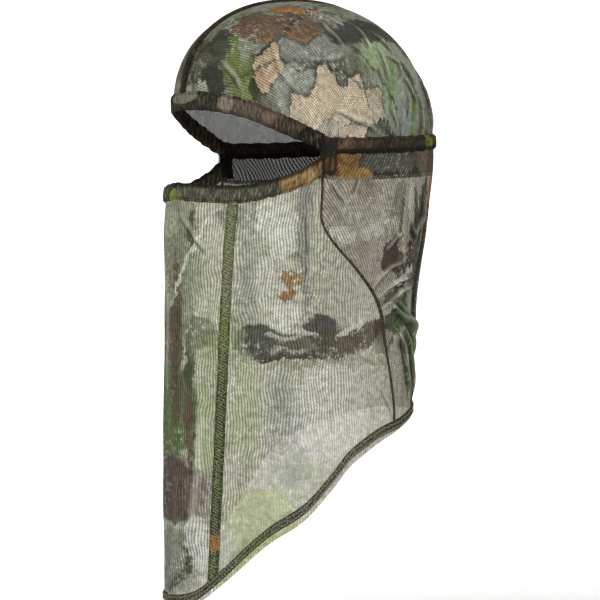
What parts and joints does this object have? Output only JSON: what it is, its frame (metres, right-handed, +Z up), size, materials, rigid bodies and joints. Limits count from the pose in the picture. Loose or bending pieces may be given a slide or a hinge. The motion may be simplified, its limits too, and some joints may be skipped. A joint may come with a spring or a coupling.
{
  "type": "camouflage mesh face mask",
  "caption": "Pull-over mesh hood with an elasticated eye opening, headband casing and a long pointed bib that covers face and neck.",
  "frame": {"origin": "the point on the inside of the crown seam that the top of the head bears on", "axes": "+Z up along the head, the front faces -Y, the wearer's left is +X"},
  "size_m": [0.1632, 0.2377, 0.4781],
  "materials": {
    "crown_mesh": "printed warp-knit netting, olive, moss, tan and rust leaf print",
    "pale_mesh": "printed warp-knit netting, pale sage with green tints",
    "cheek_mesh": "printed warp-knit netting, warm grey with lichen mottling",
    "double_mesh": "two layers of the netting, dark grey brown",
    "dark_hem": "netting folded over and stitched, brown black",
    "olive_seam": "overlocked seam of several layers, dark olive",
    "brown_seam": "overlocked seam of several layers, brown",
    "elastic": "woven black elastic",
    "thread": "dense black zigzag stitching"
  },
  "bodies": {
    "hood": {"crown_panel_left": "crown_mesh", "crown_panel_right": "crown_mesh", "crown_centre_seam": "brown_seam", "brow_hem_casing": "dark_hem", "brow_elastic": "elastic", "headband_casing": "dark_hem", "headband_elastic": "elastic", "headband_double_layer": "double_mesh", "temple_bartack_left": "thread", "temple_bartack_right": "thread", "face_panel": "pale_mesh", "cheek_seam_left": "olive_seam", "cheek_seam_right": "olive_seam", "cheek_panel_left": "cheek_mesh", "cheek_panel_right": "cheek_mesh", "neck_seam_left": "brown_seam", "neck_seam_right": "brown_seam", "neck_panel_left": "cheek_mesh", "neck_panel_right": "cheek_mesh", "neck_centre_seam": "brown_seam", "bib_side_panel_left": "pale_mesh", "bib_side_panel_right": "pale_mesh", "side_hem_left": "dark_hem", "side_hem_right": "dark_hem", "nape_hem": "dark_hem"},
    "lower_edge": {"lower_hem_casing": "dark_hem", "lower_hem_elastic": "elastic"},
    "bib": {"bib_panel": "pale_mesh", "bib_seam_left": "olive_seam", "bib_seam_right": "olive_seam", "bib_hem": "dark_hem"}
  },
  "joints": [
    {"name": "lower_edge_pull_down", "type": "hinge", "parent": "hood", "child": "lower_edge", "pos_m": [0, -0.033, -0.1412], "axis": [1, 0, 0], "range_deg": [0, 30], "deforming": ["face_panel", "cheek_seam_left", "cheek_seam_right", "cheek_panel_left", "cheek_panel_right"]},
    {"name": "bib_lift", "type": "hinge", "parent": "hood", "child": "bib", "pos_m": [0, -0.1187, -0.2489], "axis": [-1, 0, 0], "range_deg": [0, 35]}
  ]
}
